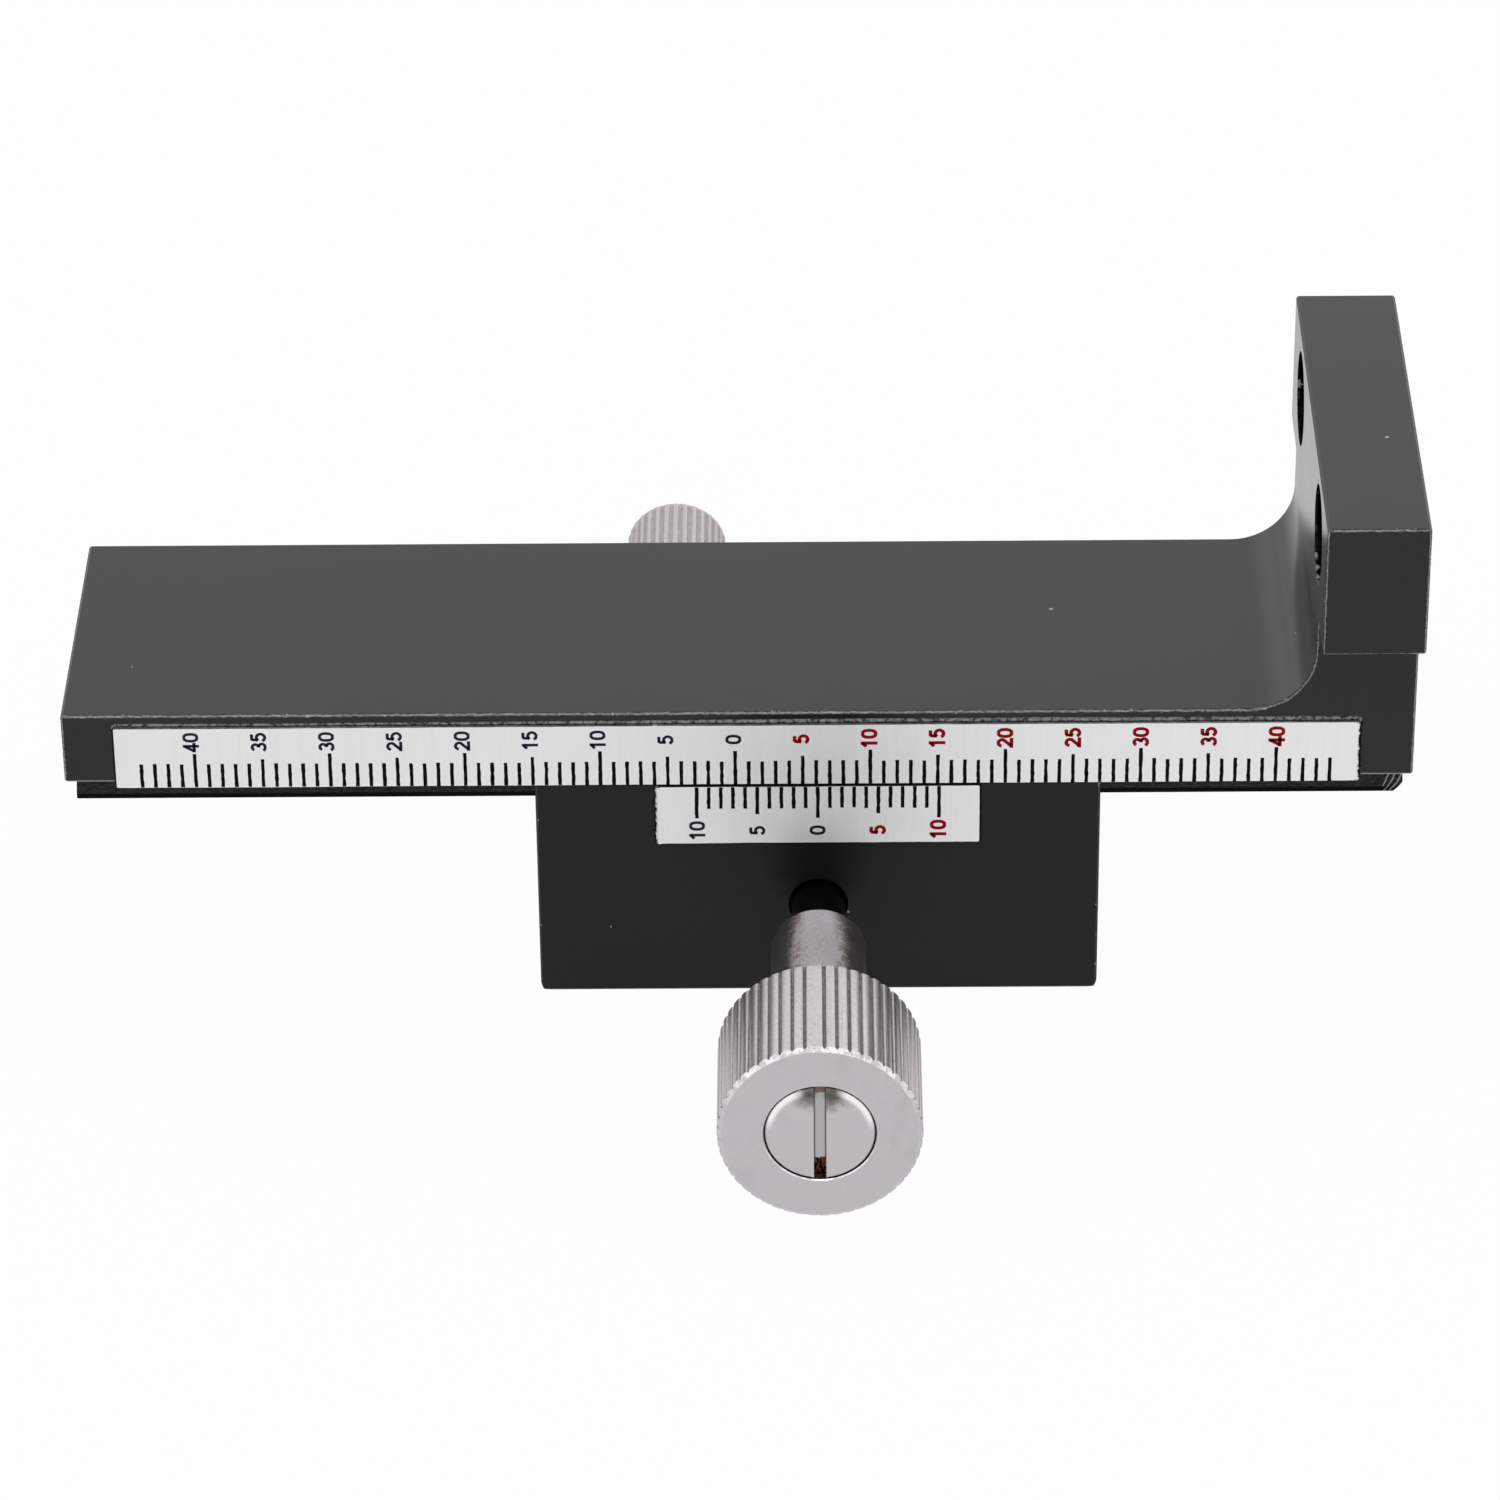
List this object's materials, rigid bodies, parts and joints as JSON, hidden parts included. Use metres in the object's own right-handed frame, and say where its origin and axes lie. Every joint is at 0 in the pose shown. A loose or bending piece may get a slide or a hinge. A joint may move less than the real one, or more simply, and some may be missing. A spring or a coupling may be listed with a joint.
{
  "type": "dovetail z-axis stage",
  "caption": "L-shaped dovetail slide on a short carriage, driven by rack, pinion and knurled knob, with millimetre scale, vernier and a lock screw.",
  "frame": {"origin": "centre of the carriage's bottom face, under the pinion's axis", "axes": "+X along the travel towards the arm, +Y away from the drive knob, +Z from the carriage to the slide"},
  "size_m": [0.1, 0.0687, 0.043],
  "materials": {
    "black_anodised": "satin black anodised",
    "scale_metal": "brushed, etched marks",
    "knob_steel": "satin, straight knurl",
    "screw_steel": "satin turned",
    "lock_steel": "satin, straight knurl",
    "black_steel": "blackened",
    "plain_steel": "ground",
    "bronze": "oiled bearing bronze",
    "brass": "machined"
  },
  "bodies": {
    "carriage": {"carriage_block": "black_anodised", "front_bush": "bronze", "rear_bush": "bronze", "gib_strip": "brass", "gib_set_screws": "black_steel", "travel_stop_screw": "black_steel", "vernier_plate": "scale_metal"},
    "slide": {"slide_bracket": "black_anodised", "rack": "plain_steel", "rack_screws": "plain_steel", "main_scale_plate": "scale_metal"},
    "drive": {"pinion_shaft": "black_steel", "pinion_gear": "brass", "pinion_pin": "plain_steel", "thrust_washer": "brass", "spring_washer": "plain_steel", "e_clip": "black_steel", "drive_knob": "knob_steel", "knob_screw": "screw_steel"},
    "lock_pad": {"lock_pad": "brass"},
    "lock_screw": {"lock_stud": "lock_steel", "lock_knob": "lock_steel"}
  },
  "joints": [
    {"name": "slide_travel", "type": "slide", "parent": "carriage", "child": "slide", "axis": [1, 0, 0], "range_m": [-0.0291, 0.0409]},
    {"name": "drive_spin", "type": "hinge", "parent": "carriage", "child": "drive", "pos_m": [0, 0, 0.00775], "axis": [0, 1, 0], "range_deg": [-417, 586]},
    {"name": "lock_feed", "type": "slide", "parent": "carriage", "child": "lock_pad", "axis": [0, -1, 0], "range_m": [-0.00025, 0.000125]},
    {"name": "lock_turn", "type": "hinge", "parent": "lock_pad", "child": "lock_screw", "pos_m": [-0.011, 0.02, 0.01631], "axis": [0, -1, 0], "range_deg": [-181.6, 91.7]}
  ],
  "couplings": [
    {"joint": "drive_spin", "follows": "slide_travel", "rad_per_m": 250},
    {"joint": "lock_turn", "follows": "lock_feed", "rad_per_m": 12566}
  ]
}
